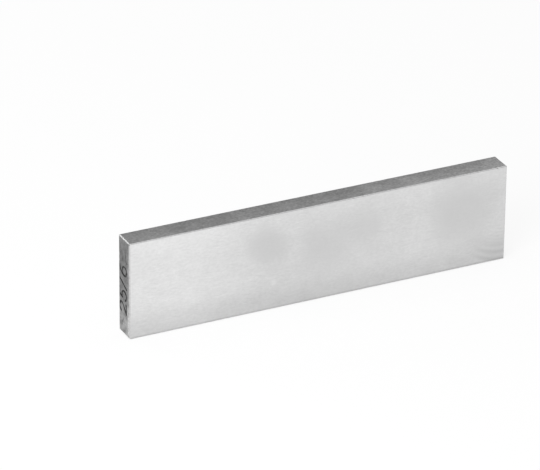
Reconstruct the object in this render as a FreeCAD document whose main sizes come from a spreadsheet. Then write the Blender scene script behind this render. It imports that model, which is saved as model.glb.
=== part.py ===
import FreeCAD, Part
import os
from enum import IntEnum

import Sketcher

# Precision parallel: one ground bar of hardened tool steel.
#
# The bar lies along X, its thickness is across Y, and it stands on its narrow face,
# so that its height runs up Z. The origin is the centre of that lower narrow face.
# The four long faces are ground flat, square and parallel, and they are the faces
# that locate work. Every edge is broken by a 45 degree flat, so that no burr or nick
# can lift the bar off the surface it stands on: a very fine one along the bar, which
# keeps the locating faces wide, and a plainer one round each end face.

DOCUMENT_NAME = "PrecisionParallel"

# Driving dimensions of the bar, in millimetres
BAR_SIZES = [
    ("bar_length", 100.0, "length along X, from end face to end face"),
    ("bar_height", 25.0, "height along Z, the size that sets how high the work sits"),
    ("bar_thickness", 6.0, "thickness along Y, the width of the narrow faces"),
    ("long_edge_break", 0.15, "leg of the 45 degree flat on the four edges along X"),
    ("end_edge_break", 0.25, "leg of the 45 degree flat on the edges round each end face"),
]

# How far from parallel to X, in radians, still counts as parallel
ANGLE_TOLERANCE = 1e-6


class End(IntEnum):
    """The two ends of a sketch line, as a sketch numbers them."""
    START = 1
    FINISH = 2


class Axis(IntEnum):
    """The two axes of a sketch, as a sketch numbers them."""
    LEVEL = -1
    UPRIGHT = -2


def make_size_sheet(document):
    """One row for each driving dimension: its name, its value and what it is."""
    sheet = document.addObject("Spreadsheet::Sheet", "Sizes")
    for row, (alias, value, meaning) in enumerate(BAR_SIZES, start=1):
        sheet.set(f"A{row}", alias)
        sheet.set(f"B{row}", str(value))
        sheet.set(f"C{row}", meaning)
        sheet.setAlias(f"B{row}", alias)
    document.recompute()
    return sheet


def origin_plane(body, role):
    """The plane of the body's own origin that has this role."""
    for feature in body.Origin.OriginFeatures:
        if feature.Role == role:
            return feature
    raise RuntimeError(f"{body.Label} has no plane {role}")


def draw_cross_section(body, sheet):
    """The bar's upright rectangle, seen along X: centred on Z and standing on Y."""
    section = body.newObject("Sketcher::SketchObject", "CrossSection")
    section.AttachmentSupport = [(origin_plane(body, "YZ_Plane"), "")]
    section.MapMode = "FlatFace"

    half_thickness = sheet.bar_thickness / 2
    corners = [
        FreeCAD.Vector(-half_thickness, 0, 0),
        FreeCAD.Vector(half_thickness, 0, 0),
        FreeCAD.Vector(half_thickness, sheet.bar_height, 0),
        FreeCAD.Vector(-half_thickness, sheet.bar_height, 0),
    ]
    sides = []
    for corner, next_corner in zip(corners, corners[1:] + corners[:1]):
        sides.append(section.addGeometry(Part.LineSegment(corner, next_corner), False))
    lower, right, upper, left = sides

    for side, next_side in zip(sides, sides[1:] + sides[:1]):
        section.addConstraint(Sketcher.Constraint("Coincident", side, End.FINISH, next_side, End.START))
    section.addConstraint(Sketcher.Constraint("Horizontal", upper))
    for upright_side in (left, right):
        section.addConstraint(Sketcher.Constraint("Vertical", upright_side))
    # Mirrored about the upright axis, the lower side is level by itself
    section.addConstraint(
        Sketcher.Constraint("Symmetric", lower, End.START, lower, End.FINISH, Axis.UPRIGHT))
    section.addConstraint(
        Sketcher.Constraint("PointOnObject", lower, End.START, Axis.LEVEL))

    across = Sketcher.Constraint(
        "DistanceX", lower, End.START, lower, End.FINISH, float(sheet.bar_thickness))
    thickness = section.addConstraint(across)
    section.renameConstraint(thickness, "thickness")
    section.setExpression("Constraints.thickness", "Sizes.bar_thickness")

    upwards = Sketcher.Constraint(
        "DistanceY", right, End.START, right, End.FINISH, float(sheet.bar_height))
    height = section.addConstraint(upwards)
    section.renameConstraint(height, "height")
    section.setExpression("Constraints.height", "Sizes.bar_height")
    return section


def is_long_edge(edge):
    """True if a straight edge runs the bar's length."""
    start, finish = [vertex.Point for vertex in edge.Vertexes]
    return (finish - start).isParallel(FreeCAD.Vector(1, 0, 0), ANGLE_TOLERANCE)


def is_end_face(face):
    """True if a flat face closes one end of the bar."""
    return face.normalAt(0, 0).isParallel(FreeCAD.Vector(1, 0, 0), ANGLE_TOLERANCE)


def names_of(kind, items, is_wanted):
    """What a feature calls the faces or edges that are wanted, such as Edge3."""
    return [f"{kind}{count}" for count, item in enumerate(items, start=1) if is_wanted(item)]


def break_edges(body, name, base, places, size):
    """A 45 degree flat of a named size on these edges, or round these faces."""
    flats = body.newObject("PartDesign::Chamfer", name)
    flats.Base = (base, places)
    flats.ChamferType = "Equal distance"
    flats.setExpression("Size", f"Sizes.{size}")
    body.Tip = flats
    body.Document.recompute()
    return flats


def make_parallel_bar(document, sheet):
    """The whole tool: the cross-section run along X, with all its edges broken."""
    body = document.addObject("PartDesign::Body", "ParallelBar")
    body.Label = "parallel_bar"
    section = draw_cross_section(body, sheet)

    bar = body.newObject("PartDesign::Pad", "GroundBar")
    bar.Profile = section
    bar.SideType = "Symmetric"
    bar.setExpression("Length", "Sizes.bar_length")
    document.recompute()

    # The ends come first, because the finer flats along the bar then run out into theirs
    end_faces = names_of("Face", bar.Shape.Faces, is_end_face)
    end_flats = break_edges(body, "EndEdgeFlats", bar, end_faces, "end_edge_break")
    long_edges = names_of("Edge", end_flats.Shape.Edges, is_long_edge)
    break_edges(body, "LongEdgeFlats", end_flats, long_edges, "long_edge_break")
    return body


def check_document(document, bodies):
    """Stops if any feature failed or any body isn't one sound solid."""
    for item in document.Objects:
        if "Invalid" in item.State or "Error" in item.State:
            raise RuntimeError(f"{item.Label} failed: {item.State}")
    for body in bodies:
        shape = body.Shape
        if shape.isNull() or not shape.isValid() or len(shape.Solids) != 1:
            raise RuntimeError(f"{body.Label} isn't one sound solid")


def write_parts(bodies):
    """One STEP file for each body, named after its label."""
    os.makedirs("parts", exist_ok=True)
    for body in bodies:
        body.Shape.exportStep(f"parts/{body.Label}.step")
        box = body.Shape.BoundBox
        print(
            f"{body.Label}: {box.XLength:.2f} x {box.YLength:.2f} x {box.ZLength:.2f} mm,"
            f" lowest point {box.ZMin:.3f}, volume {body.Shape.Volume:.1f} mm3,"
            f" {len(body.Shape.Faces)} faces")


document = FreeCAD.newDocument(DOCUMENT_NAME)
sizes = make_size_sheet(document)
bodies = [make_parallel_bar(document, sizes)]
check_document(document, bodies)
write_parts(bodies)
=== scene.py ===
# %% [markdown]
# # A precision parallel
#
# A precision parallel is a plain-looking tool: one bar of hardened steel, ground so that
# its four long faces are flat, square and parallel to a few thousandths of a millimetre.
# It stands on its narrow face in a machine vice and lifts the work to a known height.
# Nothing moves and nothing is fastened to it, so the whole lesson is about surfaces:
# ground faces, rougher ends, edges broken by hand and a size engraved by hand.

# %% Load the frame
import math
import random

import bmesh
import bpy
from mathutils import Matrix, Vector, noise
from mathutils.kdtree import KDTree


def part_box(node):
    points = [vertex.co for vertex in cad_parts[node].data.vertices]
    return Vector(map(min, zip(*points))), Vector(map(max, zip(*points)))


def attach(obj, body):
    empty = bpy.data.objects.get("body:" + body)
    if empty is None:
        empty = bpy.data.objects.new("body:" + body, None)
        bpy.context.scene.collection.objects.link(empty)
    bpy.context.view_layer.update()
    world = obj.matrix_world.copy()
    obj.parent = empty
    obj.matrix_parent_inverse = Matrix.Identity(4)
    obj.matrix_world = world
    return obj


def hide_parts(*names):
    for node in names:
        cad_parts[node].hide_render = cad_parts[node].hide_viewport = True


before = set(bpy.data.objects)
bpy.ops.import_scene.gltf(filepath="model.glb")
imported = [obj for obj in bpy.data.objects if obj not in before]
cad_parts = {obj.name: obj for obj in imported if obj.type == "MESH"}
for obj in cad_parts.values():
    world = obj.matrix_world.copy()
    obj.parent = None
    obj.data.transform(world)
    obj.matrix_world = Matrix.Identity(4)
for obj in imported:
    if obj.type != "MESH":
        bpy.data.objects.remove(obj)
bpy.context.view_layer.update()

# %% [markdown]
# The bar's own measurements are read from the solid model, so that the visible bar can't
# drift away from it. The widths of the broken edges are read too: the wide front face
# stops one break below the top, and an end face stops one break below the top as well.
# One helper turns millimetres into metres, because a machinist's numbers are easier to
# think about than 0.00025.

# %% Measure the bar
def mm(value):
    """Millimetres as metres."""
    return value / 1000


bar_low, bar_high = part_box("parallel_bar")
bar_middle = (bar_low + bar_high) / 2
bar_size = bar_high - bar_low
MEASURING_SLACK = mm(0.01)


def break_below_top(side, axis):
    """How far below the top the flat part of one side of the solid model ends."""
    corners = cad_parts["parallel_bar"].data.vertices
    heights = [
        corner.co.z for corner in corners
        if abs(corner.co[axis] - side[axis]) < MEASURING_SLACK]
    return bar_high.z - max(heights)


long_edge_break = break_below_top(bar_low, 1)
end_edge_break = break_below_top(bar_low, 0)
print("bar", [round(size * 1000, 2) for size in bar_size], "mm, edges broken by",
      f"{long_edge_break * 1000:.2f} mm along it and {end_edge_break * 1000:.2f} mm at the ends")

# %% [markdown]
# ## The camera
#
# The camera could be placed by eye, but the bar is a box, so its edges fix the view: this
# direction, distance and lens put the edges of a 100 mm bar within a pixel or two of where
# the photograph has them. A long lens from a good metre away keeps the upright edges
# nearly parallel. The aim point is a little to the left of the foot's middle and above it.

# %% Place the camera
CAMERA_AZIMUTH = math.radians(-26.20)
CAMERA_ELEVATION = math.radians(26.67)
CAMERA_ROLL = math.radians(0.584)
CAMERA_DISTANCE = mm(1100)
CAMERA_LENS = 306.13
AIM_LEFT_OF_FOOT = mm(10.70)
AIM_ABOVE_FOOT = mm(13.90)


def place_camera():
    """A camera that looks at the bar from the front left and a little from above."""
    backwards = Vector((
        math.sin(CAMERA_AZIMUTH) * math.cos(CAMERA_ELEVATION),
        -math.cos(CAMERA_AZIMUTH) * math.cos(CAMERA_ELEVATION),
        math.sin(CAMERA_ELEVATION)))
    level_right = Vector((math.cos(CAMERA_AZIMUTH), math.sin(CAMERA_AZIMUTH), 0))
    right = Matrix.Rotation(CAMERA_ROLL, 3, backwards) @ level_right
    upwards = backwards.cross(right)

    foot = Vector((bar_middle.x, bar_middle.y, bar_low.z))
    aim = foot - right * AIM_LEFT_OF_FOOT + upwards * AIM_ABOVE_FOOT
    camera = bpy.data.objects.new("camera", bpy.data.cameras.new("camera"))
    camera.data.lens = CAMERA_LENS
    camera.data.clip_start = CAMERA_DISTANCE / 10
    turn = Matrix((right, upwards, backwards)).transposed().to_4x4()
    camera.matrix_world = Matrix.Translation(aim + backwards * CAMERA_DISTANCE) @ turn
    bpy.context.scene.collection.objects.link(camera)
    bpy.context.scene.camera = camera
    return camera


camera = place_camera()
print("camera at", [round(value, 4) for value in camera.matrix_world.translation])

# %% [markdown]
# ## The ground block
#
# The solid model's own mesh could simply be given a material. A new mesh is made instead,
# because two things need more points than a plain bar has: the edges, which are broken
# by hand with a slip stone and so are never quite even, and the engraved size. The shape
# starts as the real one does, as a block. The ends are bevelled before the long edges,
# because the finer flats along the bar then run out into the wider ones round the ends.
# A last, very small bevel rubs the borders of every flat round.

# %% Cut the block and break its edges
BORDER_ROUNDING = mm(0.04)
# How much of an edge's direction has to lie along an axis to run along it
PARALLEL = 0.9999


def bevel_edges(shape, edges, width, steps):
    """Bevels these edges: one step leaves a flat, and more steps a rounding."""
    bmesh.ops.bevel(
        shape, geom=edges, offset=width, offset_type="OFFSET", segments=steps, profile=0.5,
        affect="EDGES", material=-1)


def runs_along(edge, axis):
    """True if an edge is parallel to an axis."""
    along_edge = edge.verts[1].co - edge.verts[0].co
    return abs(along_edge.normalized()[axis]) > PARALLEL


def cut_block():
    """The bar with its broken edges, and with their borders rubbed round."""
    block = bmesh.new()
    size = Matrix.Diagonal((*bar_size, 1))
    bmesh.ops.create_cube(block, size=1, matrix=Matrix.Translation(bar_middle) @ size)
    end_edges = [edge for edge in block.edges if not runs_along(edge, 0)]
    bevel_edges(block, end_edges, end_edge_break, steps=1)
    long_edges = [edge for edge in block.edges if runs_along(edge, 0)]
    bevel_edges(block, long_edges, long_edge_break, steps=1)
    bevel_edges(block, block.edges[:], BORDER_ROUNDING, steps=2)
    return block


block = cut_block()
print(f"block: {len(block.faces)} faces")

# %% [markdown]
# ## One material slot for each kind of face
#
# On the real bar each kind of face was made in its own way, so it reflects in its own
# way. The five kinds get their slots now, while every face still points in a clean
# direction. The faces that later cuts make keep the slot of the face they came from.

# %% Sort the faces by finish
KINDS = range(5)
WIDE, NARROW, END, LONG_BREAK, END_BREAK = KINDS
# How much of a face's direction lies along an axis, where 1 is all of it
STRAIGHT_ON = 0.999
TURNED_TO_END = 0.3


def finish_of(face):
    """Which kind of face this is, from the way it points."""
    towards_end, towards_side, towards_narrow = [abs(part) for part in face.normal]
    if max(towards_end, towards_side, towards_narrow) < STRAIGHT_ON:
        return END_BREAK if towards_end > TURNED_TO_END else LONG_BREAK
    if towards_end > STRAIGHT_ON:
        return END
    return WIDE if towards_side > STRAIGHT_ON else NARROW


def sort_faces(shape):
    """Gives each face the slot of its finish, and lets only the broken edges shade round."""
    for face in shape.faces:
        face.material_index = finish_of(face)
        face.smooth = face.material_index in (LONG_BREAK, END_BREAK)


block.normal_update()
sort_faces(block)
print("faces of each finish:", [
    sum(face.material_index == kind for face in block.faces) for kind in KINDS])

# %% [markdown]
# ## Points to work with
#
# A flat face has points only at its corners, and a shape can't be worked where it has no
# points. A modifier could subdivide everything evenly, but that would spend most of its
# triangles on the wide faces, which are dead flat. So the bar is scored instead: cuts
# run round it every quarter of a millimetre along its length, and the last half
# millimetre at each end is scored in the other two directions too.

# %% Score the skin
SCORE_STEP = mm(0.25)
WORKED_RIM = mm(0.5)
CUTTING_SLACK = mm(0.001)
# How much of the way from rim to rim an edge has to reach to be one of the long ones
FULL_RUN = 0.9
AXES = (Vector((1, 0, 0)), Vector((0, 1, 0)), Vector((0, 0, 1)))


def once_each(items):
    """The items in their first order, without repeats."""
    return list(dict.fromkeys(items))


def score(shape, pick_faces, axis, places):
    """Cuts the picked faces with planes across one axis."""
    for place in places:
        faces = pick_faces()
        edges = once_each(edge for face in faces for edge in face.edges)
        corners = once_each(corner for edge in edges for corner in edge.verts)
        bmesh.ops.bisect_plane(
            shape, geom=[*faces, *edges, *corners], dist=CUTTING_SLACK,
            plane_co=AXES[axis] * place, plane_no=AXES[axis])


def faces_near_end(shape, end):
    """The faces of one end, with the broken edges round it."""
    return [
        face for face in shape.faces if abs(face.calc_center_median().x - end) < WORKED_RIM]


def between(low, high, step):
    """Places between low and high, as near to one step apart as fits."""
    count = round((high - low) / step)
    return [low + (high - low) * place / count for place in range(1, count)]


def score_skin(shape):
    """Rims beside every edge, rings along the bar, and a grid at both ends."""
    for axis in range(3):
        rims = (bar_low[axis] + WORKED_RIM, bar_high[axis] - WORKED_RIM)
        score(shape, lambda: shape.faces[:], axis, rims)

    inner_length = bar_size.x - 2 * WORKED_RIM
    from_rim_to_rim = [
        edge for edge in shape.edges
        if runs_along(edge, 0) and edge.calc_length() > inner_length * FULL_RUN]
    bmesh.ops.subdivide_edges(
        shape, edges=from_rim_to_rim, cuts=round(inner_length / SCORE_STEP) - 1)

    for end in (bar_low.x, bar_high.x):
        for axis in (1, 2):
            places = between(
                bar_low[axis] + WORKED_RIM, bar_high[axis] - WORKED_RIM, SCORE_STEP)
            score(shape, lambda: faces_near_end(shape, end), axis, places)


score_skin(block)
print(f"scored: {len(block.faces)} faces")

# %% [markdown]
# ## Edges that were stoned by hand
#
# A slip stone held in the hand takes off a little more here and a little less there, and
# years in a toolbox add a few small dents. Both only ever take steel away, so every point
# near an edge moves inwards: by an uneven hundredth of a millimetre or so from the stone,
# and a little further inside a dent. Points on the flat faces away from the edges don't
# move at all, because they are the faces that measure.

# %% Wear the edges
NEAR_EDGE = WORKED_RIM * 0.9
STONED_DEPTH = mm(0.016)
STONE_STROKE = mm(5)
# The finer strokes are this many times shorter, and make this share of the unevenness
FINE_STROKES = 6
FINE_SHARE = 0.3
# Any number would do as a seed: it only makes every run choose the same dents
DENT_SEED = 11
DENT_COUNT = 34
# How often a dent lies on an edge along X, Y and Z
DENT_SHARES = (7, 1, 2)
DENT_DEPTHS = (mm(0.03), mm(0.09))
DENT_RADII = (mm(0.25), mm(0.6))


def choose_dents():
    """Dents at seeded places along the edges: where, how deep and how wide each one is."""
    chance = random.Random(DENT_SEED)
    dents = []
    for _ in range(DENT_COUNT):
        place = Vector([chance.uniform(low, high) for low, high in zip(bar_low, bar_high)])
        along = chance.choices((0, 1, 2), weights=DENT_SHARES)[0]
        for axis in range(3):
            if axis != along:
                place[axis] = chance.choice((bar_low[axis], bar_high[axis]))
        dents.append((place, chance.uniform(*DENT_DEPTHS), chance.uniform(*DENT_RADII)))
    return dents


def way_in_from_edge(place):
    """The way into the steel from the nearest edge, and how far off that edge is."""
    depths = sorted(
        (min(place[axis] - bar_low[axis], bar_high[axis] - place[axis]), axis)
        for axis in range(3))
    inwards = Vector()
    for _, axis in depths[:2]:
        inwards[axis] = math.copysign(1, bar_middle[axis] - place[axis])
    return inwards.normalized(), depths[1][0]


def uneven_share(place):
    """Noise at a place, as a share from 0 to 1."""
    return 0.5 + 0.5 * noise.noise(place)


def wear_edges(shape, dents):
    """Moves the points near the edges inwards, and returns the furthest move."""
    furthest = 0
    for corner in shape.verts:
        inwards, from_edge = way_in_from_edge(corner.co)
        if from_edge > NEAR_EDGE:
            continue
        broad = uneven_share(corner.co / STONE_STROKE)
        fine = uneven_share(corner.co / STONE_STROKE * FINE_STROKES)
        move = STONED_DEPTH * ((1 - FINE_SHARE) * broad + FINE_SHARE * fine)
        for place, depth, radius in dents:
            reach = (corner.co - place).length / radius
            if reach < 1:
                move += depth * (1 - reach * reach) ** 2
        corner.co += inwards * move
        furthest = max(furthest, move)
    return furthest


furthest_move = wear_edges(block, choose_dents())
print(f"edges worn by up to {furthest_move * 1000:.3f} mm")

# %% [markdown]
# ## The engraved size
#
# The size of such a bar is cut into one end with a hand-held engraver, so its figures are
# single strokes of one width, slightly shaky and never quite in line. Blender's text
# object would give even, printed figures with thick and thin parts. Here each figure is
# a path instead, made of straight runs and arcs, as the hand would draw it. The figures
# are this bar's own height and thickness in millimetres: a plain number, a slash and a
# plain number.

# %% Draw the figures as strokes
ARC_STEP = 15


def arc(middle, radii, start, finish):
    """Points along part of an ellipse, from one angle to the other, in degrees."""
    steps = round(abs(finish - start) / ARC_STEP)
    angles = [
        math.radians(start + (finish - start) * step / steps) for step in range(steps + 1)]
    return [
        (middle[0] + radii[0] * math.cos(angle), middle[1] + radii[1] * math.sin(angle))
        for angle in angles]


# Each figure's width and its strokes, for a figure 1 high
FIGURES = {
    "2": (0.64, [arc((0.31, 0.69), (0.30, 0.31), 165, -35) + [(0.02, 0.01), (0.64, 0.04)]]),
    "5": (0.60, [
        [(0.58, 0.97), (0.14, 1.00), (0.08, 0.57)]
        + arc((0.28, 0.32), (0.31, 0.32), 118, -150)]),
    "6": (0.60, [
        arc((0.56, 0.34), (0.55, 0.66), 98, 175)
        + arc((0.30, 0.30), (0.29, 0.30), 175, -185)]),
    "/": (0.60, [[(0.00, -0.05), (0.60, 1.03)]]),
}
FIGURE_SEED = 5
FIGURE_HEIGHT = mm(3.8)
FIGURE_GAP = 0.25
# How far a figure may lean, what share of its height it may have, and how far it may
# stray from the line
FIGURE_LEAN = 0.10
FIGURE_SHARES = (0.95, 1.03)
FIGURE_STRAY = mm(0.12)
FIRST_FIGURE = Vector((bar_low.y + mm(1.70), bar_low.z + mm(5.6)))


def lay_out_figures(text):
    """Every stroke on the end face, as pairs of Y and Z places, reading upwards."""
    chance = random.Random(FIGURE_SEED)
    start = FIRST_FIGURE.copy()
    strokes = []
    for figure in text:
        width, paths = FIGURES[figure]
        lean = chance.uniform(-FIGURE_LEAN, FIGURE_LEAN)
        height = FIGURE_HEIGHT * chance.uniform(*FIGURE_SHARES)
        beside_line = Vector((chance.uniform(-1, 1) * FIGURE_STRAY, 0))
        for path in paths:
            strokes.append([
                start + beside_line + Vector((up * height, (across + lean * up) * height))
                for across, up in path])
        start.y += (width + FIGURE_GAP) * height
    return strokes


# The size as engraved: height first, then thickness
engraved_size = f"{bar_size.z * 1000:.0f}/{bar_size.y * 1000:.0f}"
size_strokes = lay_out_figures(engraved_size)
print("engraved:", engraved_size, "in", len(size_strokes), "strokes")

# %% [markdown]
# ## The strokes as grooves
#
# The groove could be cut with a boolean and a thin rod bent along each path. Moving the
# points of the end face gives more control, and for that every point has to know how far
# it is from the nearest stroke. So the strokes are laid out as close-set points in a
# search tree, and a little noise shakes the distances as a hand shakes the engraver. A
# few short scratches above and below the figures join them, narrower and shallower.

# %% Lay the grooves out
# Radius and depth of a groove
FIGURE_GROOVE = (mm(0.33), mm(0.14))
SCRATCH_GROOVE = (mm(0.20), mm(0.06))
GROOVE_STEP = mm(0.02)
SCRATCHES = [
    # pairs of Y and Z places in millimetres
    [(-0.7, 21.9), (-0.9, 19.4)],
    [(1.9, 21.0), (1.7, 18.6)],
    [(0.7, 20.2), (0.9, 19.1)],
    [(-1.8, 20.3), (-1.5, 19.2)],
    [(0.2, 4.4), (0.9, 3.0)],
]
SHAKE_SEED = 4
HAND_SHAKE = mm(0.09)
SHAKE_LENGTH = mm(0.8)


class Grooves:
    """Strokes as close-set points, each with the radius and depth of its groove."""

    def __init__(self):
        self.points = []

    def add_stroke(self, stroke, groove):
        """Adds points in small steps along a stroke."""
        for start, finish in zip(stroke, stroke[1:]):
            steps = math.ceil((finish - start).length / GROOVE_STEP)
            self.points += [
                (start.lerp(finish, step / steps), groove) for step in range(steps + 1)]

    def make_tree(self):
        """A search tree, which finds the nearest of many points quickly."""
        self.tree = KDTree(len(self.points))
        for count, (point, _) in enumerate(self.points):
            self.tree.insert(point.to_3d(), count)
        self.tree.balance()

    def nearest(self, corner):
        """How far a mesh point is off the nearest stroke, and that stroke's groove."""
        shake = noise.noise_vector(corner.co / SHAKE_LENGTH).yz * HAND_SHAKE
        _, count, distance = self.tree.find((corner.co.yz + shake).to_3d())
        return distance, self.points[count][1]


def lay_out_grooves():
    """The figures and the scratches of the marked end, ready to be cut."""
    # Without a seed of its own, the noise behind the shake would differ in every run
    noise.seed_set(SHAKE_SEED)
    grooves = Grooves()
    for stroke in size_strokes:
        grooves.add_stroke(stroke, FIGURE_GROOVE)
    for scratch in SCRATCHES:
        grooves.add_stroke([Vector((mm(y), mm(z))) for y, z in scratch], SCRATCH_GROOVE)
    grooves.make_tree()
    return grooves


grooves = lay_out_grooves()
print("groove points:", len(grooves.points))

# %% [markdown]
# ## Cutting the strokes
#
# A narrow groove needs a fine grid, but only near the strokes, so only the faces there
# are divided. Then each point near a stroke sinks by a round-nosed profile, a little
# deeper where the hand pressed harder. How deep it went is kept with the mesh, because
# the finish darkens the bottom of the groove.

# %% Engrave the end face
FINE_CUTS = 4
# The pressure of the hand is a factor on the radius and the depth of a groove
MEAN_PRESSURE = 0.9
PRESSURE_SWING = 0.35
PRESSURE_LENGTH = mm(1.5)
# How the depth falls off to the sides: 0.5 is a half round, and 1 is a shallower hollow
NOSE_SHAPE = 0.75


def is_marked(face):
    """True if a face belongs to the end that carries the figures."""
    return face.material_index == END and face.calc_center_median().x < bar_middle.x


def divide_near_strokes(shape, grooves):
    """Divides the faces of the marked end that a groove passes through."""
    margin = FIGURE_GROOVE[0] + SCORE_STEP
    near_strokes = [
        face for face in shape.faces
        if is_marked(face) and min(grooves.nearest(corner)[0] for corner in face.verts) < margin]
    cell_edges = once_each(edge for face in near_strokes for edge in face.edges)
    bmesh.ops.subdivide_edges(shape, edges=cell_edges, cuts=FINE_CUTS, use_grid_fill=True)


def engrave(shape, grooves):
    """Sinks the points near the strokes, and returns the deepest cut."""
    divide_near_strokes(shape, grooves)
    engraved = shape.verts.layers.float.new("engraved")
    marked_points = once_each(
        corner for face in shape.faces if is_marked(face) for corner in face.verts)
    deepest = 0
    for corner in marked_points:
        if way_in_from_edge(corner.co)[1] < NEAR_EDGE:
            continue
        distance, (radius, depth) = grooves.nearest(corner)
        pressure = MEAN_PRESSURE + PRESSURE_SWING * noise.noise(corner.co / PRESSURE_LENGTH)
        off_line = distance / (radius * pressure)
        if off_line < 1:
            sunk = depth * pressure * (1 - off_line ** 2) ** NOSE_SHAPE
            corner[engraved] = sunk / FIGURE_GROOVE[1]
            corner.co.x += sunk
            deepest = max(deepest, sunk)
            for face in corner.link_faces:
                face.smooth = True
    return deepest


deepest_cut = engrave(block, grooves)
print(f"engraved {deepest_cut * 1000:.2f} mm deep: {len(block.faces)} faces")

# %% [markdown]
# ## From the block to a piece of the frame
#
# Up to here the bar is only a block in the workshop. It becomes an object whose place is
# in its mesh, as the solid model's is. It stands in for the solid bar, which is hidden, and
# it rides on the one body there is.
# The scoring made its edges and faces in an order that can differ from run to run, so
# they are sorted first, and every run gives the very same mesh.

# %% Turn the block into a piece
def sort_by_points(items):
    """Puts the edges or faces of a shape in the order of their points."""
    in_order = sorted(items, key=lambda item: sorted(corner.index for corner in item.verts))
    places = {item: place for place, item in enumerate(in_order)}
    items.sort(key=places.get)


def make_piece(name, shape):
    """A mesh object from a bmesh, with its place in its mesh."""
    bmesh.ops.recalc_face_normals(shape, faces=shape.faces[:])
    shape.verts.index_update()
    sort_by_points(shape.edges)
    sort_by_points(shape.faces)
    mesh = bpy.data.meshes.new(name)
    shape.to_mesh(mesh)
    shape.free()
    piece = bpy.data.objects.new(name, mesh)
    bpy.context.scene.collection.objects.link(piece)
    return piece


bar = make_piece("ground_bar", block)
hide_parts("parallel_bar")
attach(bar, "root")
bar.data.calc_loop_triangles()
print(f"{bar.name}: {len(bar.data.loop_triangles)} triangles")

# %% [markdown]
# ## Finishes made from nodes
#
# Bare steel has no colour to paint: what the eye reads as its finish is how each patch
# mirrors the room, a little brighter or duller and a little sharper or softer. So every
# finish is a metal whose tone and roughness are varied by noise of several sizes, all
# read from the bar's own coordinates in millimetres, which keeps the grain on the steel
# when the bar moves. The helpers below add one node each, so that a finish reads as a
# short list of what is on the surface.

# %% Helpers for node trees
# Nearly all of a noise pattern lies between these values
NOISE_RANGE = (0.3, 0.7)


def add_node(tree, kind, inputs=None, output=0, **settings):
    """Adds a node, sets or links its inputs, and returns one of its outputs."""
    node = tree.nodes.new(f"ShaderNode{kind}")
    for name, value in settings.items():
        setattr(node, name, value)
    for name, value in (inputs or {}).items():
        if isinstance(value, bpy.types.NodeSocket):
            tree.links.new(value, node.inputs[name])
        else:
            node.inputs[name].default_value = value
    return node.outputs[output]


def place_in_mm(tree):
    """Where a point is on the bar, in millimetres from the middle of its foot."""
    place = add_node(tree, "TexCoord", output="Object")
    return add_node(tree, "VectorMath", {0: place, "Scale": 1000}, operation="SCALE")


def speckle(tree, place, size, stretch=(1, 1, 1), detail=2.0, shift=0.0):
    """Noise with spots of about this size in millimetres, drawn out along the axes.

    The shift takes each pattern from another part of the noise, so that no two are alike.
    """
    scale = [1 / (size * amount) for amount in stretch]
    moved = add_node(
        tree, "VectorMath", {0: place, 1: scale, 2: [shift] * 3}, operation="MULTIPLY_ADD")
    return add_node(tree, "TexNoise", {"Vector": moved, "Scale": 1, "Detail": detail})


def remap(tree, value, from_low, from_high, to_low, to_high, smooth=False):
    """Turns one range of a pattern into another and holds it there."""
    kind = "SMOOTHSTEP" if smooth else "LINEAR"
    return add_node(tree, "MapRange", {
        "Value": value, "From Min": from_low, "From Max": from_high,
        "To Min": to_low, "To Max": to_high}, interpolation_type=kind)


def swing(tree, pattern, by):
    """A factor that a noise pattern swings about 1 by this amount."""
    return remap(tree, pattern, *NOISE_RANGE, 1 - by, 1 + by)


def multiply(tree, *factors):
    """The product of all the factors."""
    product, *others = factors
    for factor in others:
        product = add_node(tree, "Math", {0: product, 1: factor}, operation="MULTIPLY")
    return product


# %% [markdown]
# ## The broken edges
#
# The simplest finish comes first: a metal with one roughness, and a tone that a slip
# stone left a little uneven. A fine stone leaves the flats along the bar as bright as the
# ground faces, so that they can hardly be seen. The flats round the ends are made before
# hardening and keep some of its dullness, most of all at the top and next to the front,
# and only a lamp that they face makes the top one a thin bright line. A finish that
# differs from place to place could be painted on an image. Fades do it without one: each
# row of a list says along which axis, from where to where and by how much the tone changes.

# %% Finish the broken edges
LONG_BREAK_TONE = 0.68
LONG_BREAK_ROUGHNESS = 0.30
END_BREAK_TONE = 0.47
END_BREAK_ROUGHNESS = 0.34
END_BREAK_FADES = [
    # axis, from and to in millimetres, and the factor before and after
    ("Z", 24.4, 24.7, 1.55, 1),
    ("Y", -3, 3, 0.80, 1),
]


def make_metal(name, roughness):
    """A plain metal and its node tree, with one roughness all over."""
    material = bpy.data.materials.new(name)
    material.use_nodes = True
    shader = material.node_tree.nodes["Principled BSDF"]
    shader.inputs["Metallic"].default_value = 1
    shader.inputs["Roughness"].default_value = roughness
    return material, material.node_tree, shader


def fades(tree, place, rows):
    """The product of factors that each change smoothly from one place to another."""
    factors = [1.0]
    for axis, start, finish, before, after in rows:
        along_axis = add_node(tree, "SeparateXYZ", {0: place}, output=axis)
        factors.append(remap(tree, along_axis, start, finish, before, after, smooth=True))
    return multiply(tree, *factors)


def finish_broken_edges(name, tone, roughness, rows=()):
    """Stoned steel: a tone that is a little uneven from stroke to stroke."""
    material, tree, shader = make_metal(name, roughness)
    place = place_in_mm(tree)
    strokes = speckle(tree, place, size=0.5, detail=3.0, shift=7.0)
    uneven_tone = multiply(
        tree, tone, swing(tree, strokes, by=0.12), fades(tree, place, rows))
    tree.links.new(uneven_tone, shader.inputs["Base Color"])
    return material


long_break_steel = finish_broken_edges(
    "stoned_edge_steel", LONG_BREAK_TONE, LONG_BREAK_ROUGHNESS)
end_break_steel = finish_broken_edges(
    "end_edge_steel", END_BREAK_TONE, END_BREAK_ROUGHNESS, END_BREAK_FADES)
print("broken edges:", long_break_steel.name, "and", end_break_steel.name)

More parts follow.
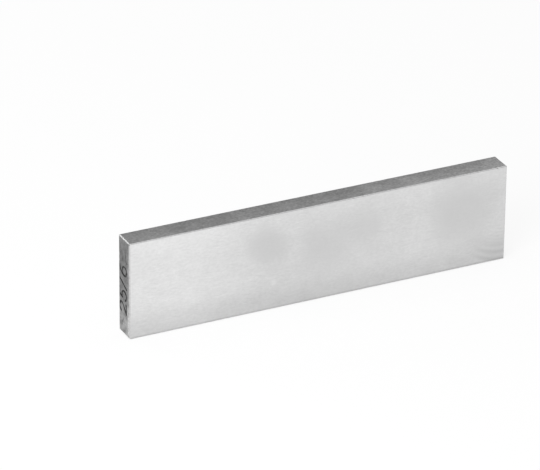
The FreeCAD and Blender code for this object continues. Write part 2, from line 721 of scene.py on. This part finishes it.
# %% [markdown]
# ## The narrow ground faces
#
# The narrow faces are ground along the bar with a coarse wheel, so their grain is easy to
# see. They carry the work and slide on the vice, so the mottle is strong, and the tone
# changes along the bar in soft patches several millimetres wide. They are a little
# brighter towards the unmarked end and towards the front. The grain could be a bump
# alone, but at this size it is finer than one pixel of a picture, so it is in the tone as
# well.

# %% Finish the narrow faces
NARROW_TONE = 0.528
NARROW_ROUGHNESS = 0.36
NARROW_FADES = [
    ("X", -40, 45, 0.94, 1.11),
    ("Y", -3, 3, 1.05, 0.92),
]


def add_bump(tree, shader, height, depth):
    """Raises the surface by a pattern, to this depth in millimetres."""
    normal = add_node(tree, "Bump", {"Height": height, "Distance": mm(depth), "Strength": 1})
    tree.links.new(normal, shader.inputs["Normal"])


def finish_narrow_faces():
    """Coarsely ground steel: lines along the bar, a strong mottle and soft patches."""
    material, tree, shader = make_metal("ground_edge_steel", NARROW_ROUGHNESS)
    place = place_in_mm(tree)
    lines = speckle(tree, place, size=0.20, stretch=(12, 1, 1), detail=3.0, shift=3.0)
    mottle = speckle(tree, place, size=0.40, stretch=(1.4, 1, 1), shift=31.0)
    blotches = speckle(tree, place, size=2.1, stretch=(2, 1, 1), shift=59.0)
    patches = speckle(tree, place, size=9.0, stretch=(1, 2, 2), detail=0.0, shift=5.0)
    tone = multiply(
        tree, swing(tree, lines, by=0.06), swing(tree, mottle, by=0.19),
        swing(tree, blotches, by=0.045), swing(tree, patches, by=0.09),
        fades(tree, place, NARROW_FADES), NARROW_TONE)
    tree.links.new(tone, shader.inputs["Base Color"])
    roughness = multiply(tree, swing(tree, mottle, by=0.10), NARROW_ROUGHNESS)
    tree.links.new(roughness, shader.inputs["Roughness"])
    add_bump(tree, shader, lines, depth=0.002)
    return material


narrow_steel = finish_narrow_faces()
print(narrow_steel.name, "has", len(narrow_steel.node_tree.nodes), "nodes")

# %% [markdown]
# ## The ends and the engraving
#
# Nothing is measured from the ends, so they are left dull and dark from hardening, with
# short scratches from the saw and the bench. They are painted lighter near the foot, a
# painted reflection of the bright paper, and painted lighter down the side next to the
# front, a painted highlight from the bright front edge. The groove of the figures is
# darkest: the depth that the engraving left on each point mixes a dark tone in.

# %% Finish the ends
END_TONE = 0.205
END_ROUGHNESS = 0.5
# The grooves are mixed towards this dark tone, fully from this share of a figure's depth
GROOVE_DARK_TONE = 0.03
FULL_DARK_DEPTH = 0.6
# Painted light: the end is painted lighter towards the foot, a painted reflection of the paper
END_FOOT_PAINTED_LIGHT = [
    ("Z", 4, 11, 1.65, 1),
]
# Painted highlight: the end is painted lighter down the side next to the bright front edge
END_FRONT_PAINTED_HIGHLIGHT = [
    ("Y", -2.9, -1.4, 0.8, 0),
    ("Z", 16, 21, 1, 0.35),
]


def raised_by(tree, amount):
    """A factor of 1 where a pattern is 0, and more where it is more."""
    return add_node(tree, "Math", {0: amount, 1: 1.0}, operation="ADD")


def finish_ends():
    """Dull steel with grit and scratches, painted lighter near the foot and by the front, and
    darker in whatever is engraved.
    """
    material, tree, shader = make_metal("dull_end_steel", END_ROUGHNESS)
    place = place_in_mm(tree)
    grit = speckle(tree, place, size=0.35, detail=3.0, shift=5.0)
    mottle = speckle(tree, place, size=1.5, shift=17.0)
    scratches = speckle(tree, place, size=0.3, stretch=(1, 6, 1), shift=29.0)
    # The fades paint light near the foot and a highlight down the side next to the front
    bare_tone = multiply(
        tree, fades(tree, place, END_FOOT_PAINTED_LIGHT), raised_by(tree, fades(tree, place, END_FRONT_PAINTED_HIGHLIGHT)),
        swing(tree, grit, by=0.18), swing(tree, mottle, by=0.36),
        swing(tree, scratches, by=0.12), END_TONE)
    depth = add_node(tree, "Attribute", output="Fac", attribute_name="engraved")
    groove_darkening = remap(tree, depth, 0, FULL_DARK_DEPTH, 0, 1)
    tone = add_node(tree, "Mix", {"Factor": groove_darkening, 2: bare_tone, 3: GROOVE_DARK_TONE})
    tree.links.new(tone, shader.inputs["Base Color"])
    roughness = multiply(tree, swing(tree, mottle, by=0.12), END_ROUGHNESS)
    tree.links.new(roughness, shader.inputs["Roughness"])
    add_bump(tree, shader, grit, depth=0.01)
    return material


end_steel = finish_ends()
print(end_steel.name, "has", len(end_steel.node_tree.nodes), "nodes")

# %% [markdown]
# ## Oil on the wide faces
#
# The wide faces are ground finely, then only wiped, so they are pale and satin, with
# patches where a film of oil dulls the steel and hides its grain. The photograph shows
# where the patches are on the front. The back isn't seen in it, and gets patches of its
# own. Each patch is a soft round spot whose border wanders with a broad noise, and where
# two patches meet they run together, as oil does.

# %% Lay the oil films out
FRONT_FILMS = [
    # across the bar, height, radius and strength
    (-14.0, 17.0, 7.4, 0.95),
    (1.5, 13.0, 8.5, 0.75),
    (12.5, 17.2, 7.2, 0.75),
    (37.5, 15.8, 13.0, 1.00),
    (5.0, 9.5, 17.0, 0.35),
    (49.0, 1.5, 9.5, 0.90),
    (-40.0, 20.2, 2.4, 0.35),
]
BACK_FILMS = [
    (-30.0, 11.0, 11.0, 0.90),
    (4.0, 17.0, 8.0, 0.70),
    (27.0, 9.0, 9.5, 0.95),
]
SPOT_CORE = 0.2
SPOT_WANDER = 0.15


def spot_distance(tree, place, across, height):
    """How far a point is from a spot on a wide face, in millimetres."""
    flattened = add_node(tree, "VectorMath", {0: place, 1: (1, 0, 1)}, operation="MULTIPLY")
    return add_node(
        tree, "VectorMath", {0: flattened, 1: (across, 0, height)}, output="Value",
        operation="DISTANCE")


def soft_spots(tree, place, uneven, spots):
    """0 on bare steel, and up to 1 in the spots, which run together where they meet."""
    bare = 1.0
    for across, height, radius, strength in spots:
        distance = multiply(
            tree, spot_distance(tree, place, across, height), swing(tree, uneven, SPOT_WANDER))
        bare = multiply(tree, bare, remap(
            tree, distance, radius * SPOT_CORE, radius, 1 - strength, 1, smooth=True))
    return add_node(tree, "Math", {0: 1.0, 1: bare}, operation="SUBTRACT")


def on_either_side(tree, place, front, back):
    """One pattern on the front half of the bar and another on the back half."""
    side = add_node(tree, "SeparateXYZ", {0: place}, output="Y")
    is_back = add_node(tree, "Math", {0: side, 1: 0.0}, operation="GREATER_THAN")
    return add_node(tree, "Mix", {"Factor": is_back, 2: front, 3: back})


print("oil films:", len(FRONT_FILMS), "on the front and", len(BACK_FILMS), "on the back")

# %% [markdown]
# ## The trace of a finger
#
# Near the lower right corner of the front, a fingertip slid over the steel and left bent
# streaks. They could be drawn one by one. But they all bend round the same point, so one
# wave that runs outwards from it makes them all, shaken by the same broad noise and faded
# out at its borders.

# %% Trace the finger
SMEAR_MIDDLE = (49.0, 13.5)
SMEAR_STREAKS = [
    # spacing, strength, where they start along the bar, lowest and highest place
    (1.96, 0.055, 39.5, -2.0, 4.5),
    (0.90, 0.022, 42.5, 4.5, 9.5),
]
SMEAR_FADE_IN = 5.0
SMEAR_SOFTNESS = 1.0
SMEAR_WANDER = 1.2


def finger_factor(tree, place, uneven):
    """The bent streaks of a finger that slid over the front's lower right corner."""
    wander = add_node(
        tree, "Math", {0: uneven, 1: SMEAR_WANDER, 2: -SMEAR_WANDER / 2},
        operation="MULTIPLY_ADD")
    bent = add_node(
        tree, "Math", {0: spot_distance(tree, place, *SMEAR_MIDDLE), 1: wander}, operation="ADD")
    factors = []
    for spacing, strength, start, lowest, highest in SMEAR_STREAKS:
        wave = add_node(
            tree, "Math", {0: multiply(tree, bent, 2 * math.pi / spacing)}, operation="SINE")
        reach = fades(tree, place, [
            ("X", start, start + SMEAR_FADE_IN, 0, strength),
            ("Z", lowest - SMEAR_SOFTNESS, lowest + SMEAR_SOFTNESS, 0, 1),
            ("Z", highest - SMEAR_SOFTNESS, highest + SMEAR_SOFTNESS, 1, 0)])
        factors.append(raised_by(tree, multiply(tree, wave, reach)))
    return on_either_side(tree, place, multiply(tree, *factors), 1.0)


print("finger streaks every", " and ".join(f"{row[0]} mm" for row in SMEAR_STREAKS))

# %% [markdown]
# ## The wide ground faces
#
# Close up, the steel under the oil has a fine mottle with faint lines along the bar from
# the grinding wheel, soft clouds a few millimetres wide, and sparse hairline scratches
# from wiping, some bright and some dark, a few degrees off the bar's length. Painted light
# makes it brightest at the top of the marked end, and a little duller at the other end.
# Painted shade makes it duller towards the foot, and right above the paper a thin dark
# line is painted, a painted contact shadow. The front also has one small bright scuff.

# %% Finish the wide faces
WIDE_TONE = 0.698
WIDE_ROUGHNESS = 0.34
# Painted light: the wide faces are painted brighter towards the top of the marked end
PAINTED_BRIGHT_CORNER = [
    ("X", -36, -10, 0.14, 0),
    ("Z", 0, 10, 0.5, 1),
]
# Painted light and shade: duller at the far end and towards the foot, brighter at the top, and a
# painted contact shadow just above the paper
WIDE_PAINTED_SHADING = [
    ("X", 28, 50, 1, 0.97),
    ("Z", 0, 8.5, 0.855, 1),
    ("Z", 17, 25, 1, 1.05),
    ("Z", 0.15, 0.7, 0.78, 1),
]
HAIRLINES = [
    # degrees off the bar's length, shift of the noise, and tone of the scratch
    (7, 61.0, 1.05),
    (-16, 83.0, 0.95),
]
# Where in the noise a hairline starts, and where it is at its full tone
HAIRLINE_RANGE = (0.64, 0.72)
FILM_TONE = 0.935
FILM_HIDES = 0.75
FILM_ROUGHNESS = 1.15
# Across the bar, height, radius and strength, as for a film
FRONT_SCUFF = (-12.5, 6.9, 1.2, 1.0)
SCUFF_TONE = 1.10


def hairline_factor(tree, place):
    """Sparse thin scratches, lighter or darker than the steel round them."""
    factors = []
    for turn, shift, scratch_tone in HAIRLINES:
        turned = add_node(
            tree, "VectorRotate", {"Vector": place, "Angle": math.radians(turn)},
            rotation_type="Y_AXIS")
        scratches = speckle(
            tree, turned, size=0.13, stretch=(55, 8, 1), detail=0.0, shift=shift)
        factors.append(remap(tree, scratches, *HAIRLINE_RANGE, 1, scratch_tone))
    return multiply(tree, *factors)


def finish_wide_faces():
    """Finely ground steel under films of oil, with hairlines and a finger's trace."""
    material, tree, shader = make_metal("ground_satin_steel", WIDE_ROUGHNESS)
    place = place_in_mm(tree)
    lines = speckle(tree, place, size=0.17, stretch=(25, 1, 1), detail=3.0)
    mottle = speckle(tree, place, size=0.62, stretch=(1.4, 1, 1), shift=11.0)
    blotches = speckle(tree, place, size=2.6, stretch=(1.2, 1, 1), shift=37.0)
    clouds = speckle(tree, place, size=9.0, detail=1.5, shift=23.0)

    film = on_either_side(
        tree, place, soft_spots(tree, place, clouds, FRONT_FILMS),
        soft_spots(tree, place, clouds, BACK_FILMS))
    grain = multiply(
        tree, swing(tree, lines, by=0.014), swing(tree, mottle, by=0.038),
        swing(tree, blotches, by=0.018), hairline_factor(tree, place))
    hidden = multiply(tree, film, FILM_HIDES)
    veiled_grain = add_node(tree, "Mix", {"Factor": hidden, 2: grain, 3: 1.0})
    scuff = on_either_side(tree, place, soft_spots(tree, place, mottle, [FRONT_SCUFF]), 0.0)
    # The fades and the bright corner in this tone are painted light and shade
    tone = multiply(
        tree, veiled_grain, swing(tree, clouds, by=0.024), fades(tree, place, WIDE_PAINTED_SHADING),
        raised_by(tree, fades(tree, place, PAINTED_BRIGHT_CORNER)),
        remap(tree, film, 0, 1, 1, FILM_TONE), remap(tree, scuff, 0, 1, 1, SCUFF_TONE),
        finger_factor(tree, place, clouds), WIDE_TONE)
    tree.links.new(tone, shader.inputs["Base Color"])

    roughness = multiply(
        tree, swing(tree, clouds, by=0.10), swing(tree, lines, by=0.05),
        remap(tree, film, 0, 1, 1, FILM_ROUGHNESS), WIDE_ROUGHNESS)
    tree.links.new(roughness, shader.inputs["Roughness"])
    add_bump(tree, shader, lines, depth=0.0012)
    return material


wide_steel = finish_wide_faces()
print(wide_steel.name, "has", len(wide_steel.node_tree.nodes), "nodes")

# %% [markdown]
# ## Each finish on its faces
#
# The faces know the number of their slot already, from the sorting above. So the finishes
# only have to be hung on the bar in the same order.

# %% Give the bar its finishes
FINISHES = {
    WIDE: wide_steel, NARROW: narrow_steel, END: end_steel,
    LONG_BREAK: long_break_steel, END_BREAK: end_break_steel,
}
for kind in KINDS:
    bar.data.materials.append(FINISHES[kind])
print("finishes:", ", ".join(material.name for material in bar.data.materials))

# %% [markdown]
# ## The floor
#
# The bar stands on white paper that is lit until it is as white as the picture can show,
# so only a hint of shadow is left at the foot. More lamps would do that to the bar too.
# Instead, the paper is plain white to the light that falls on the bar from it, and to the
# camera and to mirror reflections most of its light is a glow of strength 1. The rest is
# still lit paper, which keeps the shadow, and the glow fades in the narrow gap under the
# broken edge at the foot, which paints a contact shadow there.

# %% Lay the floor
FLOOR_HALF_WIDTH = 4
PAPER_GREY = (0.9, 0.9, 0.9, 1)
PAPER_ROUGHNESS = 0.9
GLOW_WHITE = (1, 1, 1, 1)
FLOOR_GLOW = 0.84
CONTACT_REACH = mm(0.35)
CONTACT_SAMPLES = 8


def make_white_paper():
    """Lit paper to the scene's light, and mostly a white glow to the camera and mirrors."""
    material = bpy.data.materials.new("white_paper")
    material.use_nodes = True
    tree = material.node_tree
    shader = tree.nodes["Principled BSDF"]
    shader.inputs["Base Color"].default_value = PAPER_GREY
    shader.inputs["Roughness"].default_value = PAPER_ROUGHNESS
    shader.inputs["Specular IOR Level"].default_value = 0
    path = tree.nodes.new("ShaderNodeLightPath")
    seen = path.outputs["Is Camera Ray"]
    for kind in ("Is Glossy Ray", "Is Transmission Ray"):
        seen = add_node(tree, "Math", {0: seen, 1: path.outputs[kind]}, operation="MAXIMUM")
    # Ambient occlusion fades the glow at the foot: a painted contact shadow
    open_sky = add_node(
        tree, "AmbientOcclusion", {"Distance": CONTACT_REACH}, output="AO",
        samples=CONTACT_SAMPLES)
    glow = add_node(tree, "Emission", {"Color": GLOW_WHITE, "Strength": 1})
    paper = add_node(tree, "MixShader", {
        0: multiply(tree, seen, open_sky, FLOOR_GLOW), 1: shader.outputs[0], 2: glow})
    tree.links.new(paper, tree.nodes["Material Output"].inputs["Surface"])
    return material


floor_shape = bmesh.new()
bmesh.ops.create_grid(
    floor_shape, x_segments=1, y_segments=1, size=FLOOR_HALF_WIDTH,
    matrix=Matrix.Translation((0, 0, bar_low.z)))
floor = make_piece("floor", floor_shape)
floor.data.materials.append(make_white_paper())
print("floor:", FLOOR_HALF_WIDTH * 2, "m wide, of", floor.data.materials[0].name)

# %% [markdown]
# ## The light
#
# A metal face shows whatever it mirrors, so the light is planned backwards from the
# faces. The wide front mirrors the paper in front of the bar and comes out pale. The top
# mirrors the room behind, low above the paper, so the room is grey there and the top
# comes out mid grey. The ceiling is brighter, as under a large soft lamp. Two softboxes
# finish it: one at the left front, which together with painted light makes the near end
# of the front face the brightest, and one low behind on the left, which only the broken
# edge of the end mirrors.

# %% Light the studio
SOFTBOXES = [
    # name, direction from the bar, distance and width in metres, and power in watts
    ("left_softbox", (-0.75, -0.55, 0.50), 0.60, 0.35, 2.6),
    ("low_softbox", (-0.44, 0.80, 0.42), 0.60, 0.22, 0.42),
]
WALL_GREY = 0.29
CEILING_WHITE = 1.20
# Where the walls start to brighten into the ceiling, from 0 level to 1 overhead
TOP_OF_WALLS = 0.45


def add_softbox(name, direction, distance, width, power):
    """A square lamp that faces the bar from this direction, unseen by the camera."""
    lamp = bpy.data.lights.new(name, "AREA")
    lamp.shape = "SQUARE"
    lamp.size = width
    lamp.energy = power
    holder = bpy.data.objects.new(name, lamp)
    towards_lamp = Vector(direction).normalized()
    turn = towards_lamp.to_track_quat("Z", "Y").to_matrix().to_4x4()
    holder.matrix_world = Matrix.Translation(bar_middle + towards_lamp * distance) @ turn
    holder.visible_camera = False
    bpy.context.scene.collection.objects.link(holder)


def make_room():
    """A room with grey walls and a brighter ceiling."""
    room = bpy.data.worlds.new("room")
    room.use_nodes = True
    tree = room.node_tree
    direction = add_node(tree, "TexCoord", output="Generated")
    upwards = add_node(tree, "SeparateXYZ", {0: direction}, output="Z")
    light = remap(tree, upwards, TOP_OF_WALLS, 1.0, WALL_GREY, CEILING_WHITE, smooth=True)
    tree.links.new(light, tree.nodes["Background"].inputs["Color"])
    tree.nodes["Background"].inputs["Strength"].default_value = 1
    return room


for softbox in SOFTBOXES:
    add_softbox(*softbox)
bpy.context.scene.world = make_room()
bpy.context.scene.view_settings.view_transform = "Standard"
